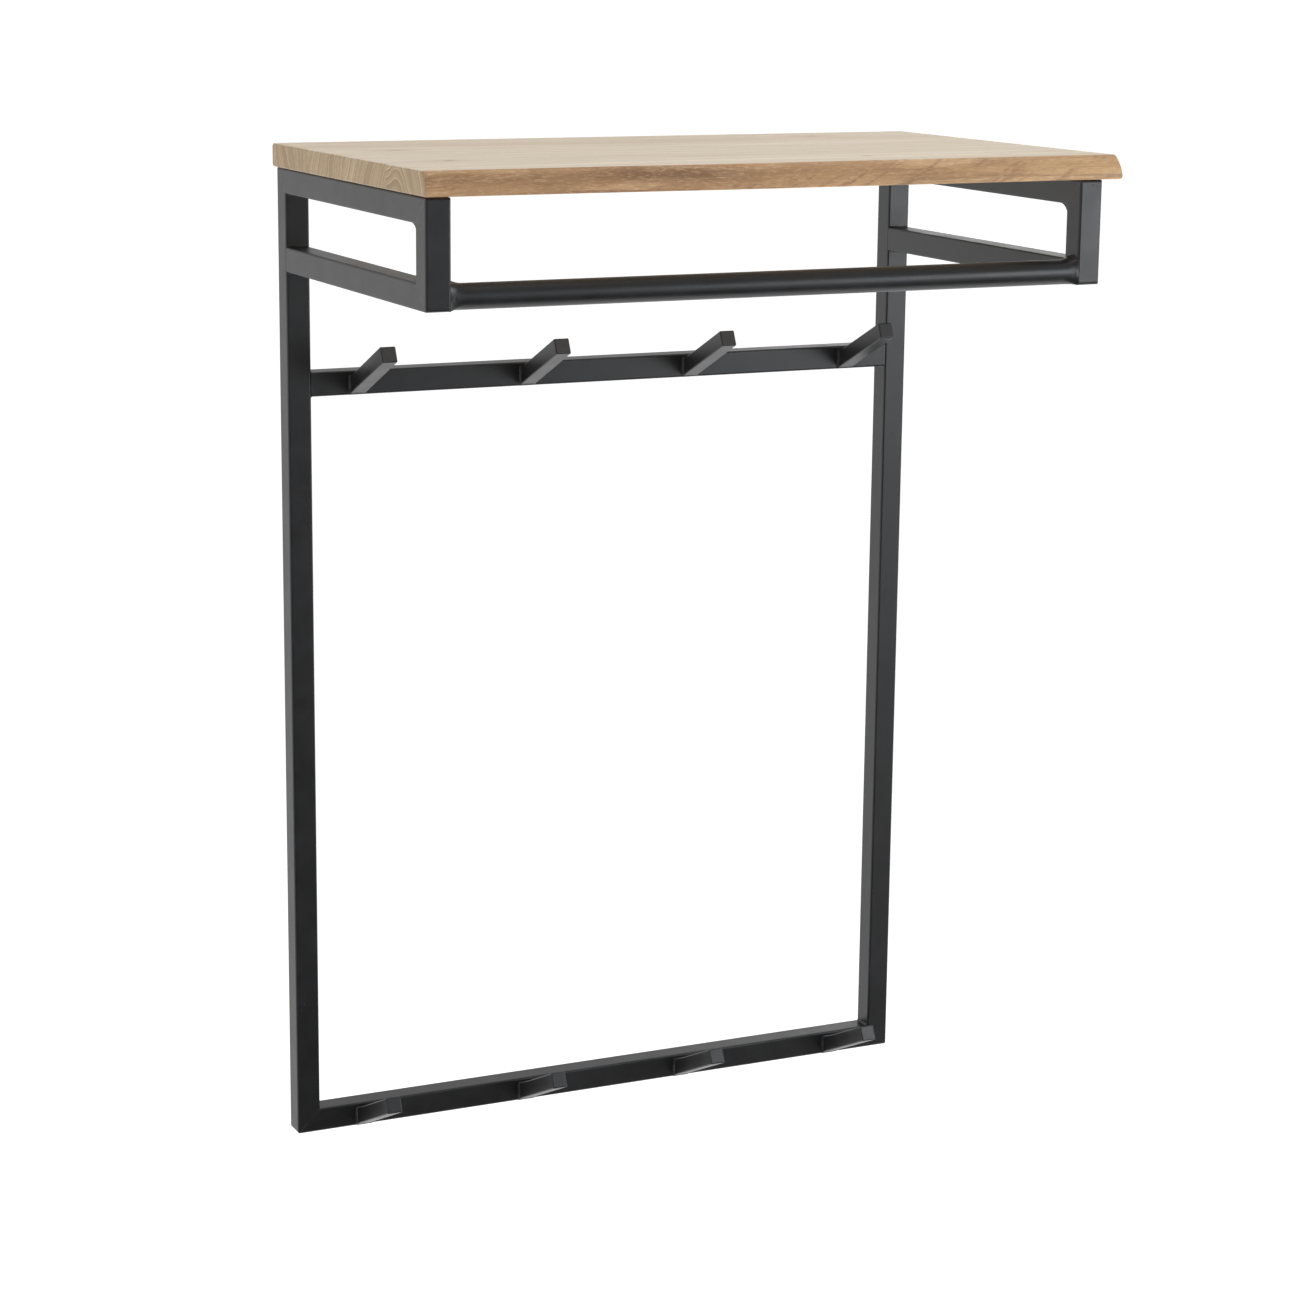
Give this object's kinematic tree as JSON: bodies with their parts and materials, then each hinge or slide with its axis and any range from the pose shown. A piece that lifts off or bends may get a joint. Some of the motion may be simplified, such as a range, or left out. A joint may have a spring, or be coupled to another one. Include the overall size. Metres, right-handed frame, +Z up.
{
  "type": "wall coat rack with hat shelf",
  "caption": "Wall-hung coat rack: welded square-tube steel frame with a live-edge wood hat shelf, a round hanging rod and two rows of square peg hooks.",
  "frame": {"origin": "centre of the four keyholes, in the wall plane at the back of the frame", "axes": "+Z up, +Y into the wall, the object stands out towards -Y, X along the shelf"},
  "size_m": [0.709, 0.3988, 1],
  "materials": {
    "black_steel": "semi-matt black, hand rubbed",
    "shelf_wood": "light matt lacquer on pale hardwood",
    "screws": "zinc plated"
  },
  "bodies": {
    "root": {"bottom_rail": "black_steel", "corner_welds": "black_steel", "frame_welds": "black_steel", "hanging_rod": "black_steel", "hook_rail": "black_steel", "hook_welds": "black_steel", "left_front_post": "black_steel", "left_lower_arm": "black_steel", "left_top_arm": "black_steel", "left_upright": "black_steel", "lower_hook_1": "black_steel", "lower_hook_2": "black_steel", "lower_hook_3": "black_steel", "lower_hook_4": "black_steel", "right_front_post": "black_steel", "right_lower_arm": "black_steel", "right_top_arm": "black_steel", "right_upright": "black_steel", "rod_welds": "black_steel", "shelf_board_1": "shelf_wood", "shelf_board_2": "shelf_wood", "shelf_board_3": "shelf_wood", "shelf_board_4": "shelf_wood", "shelf_screws": "screws", "upper_hook_1": "black_steel", "upper_hook_2": "black_steel", "upper_hook_3": "black_steel", "upper_hook_4": "black_steel"}
  },
  "joints": []
}
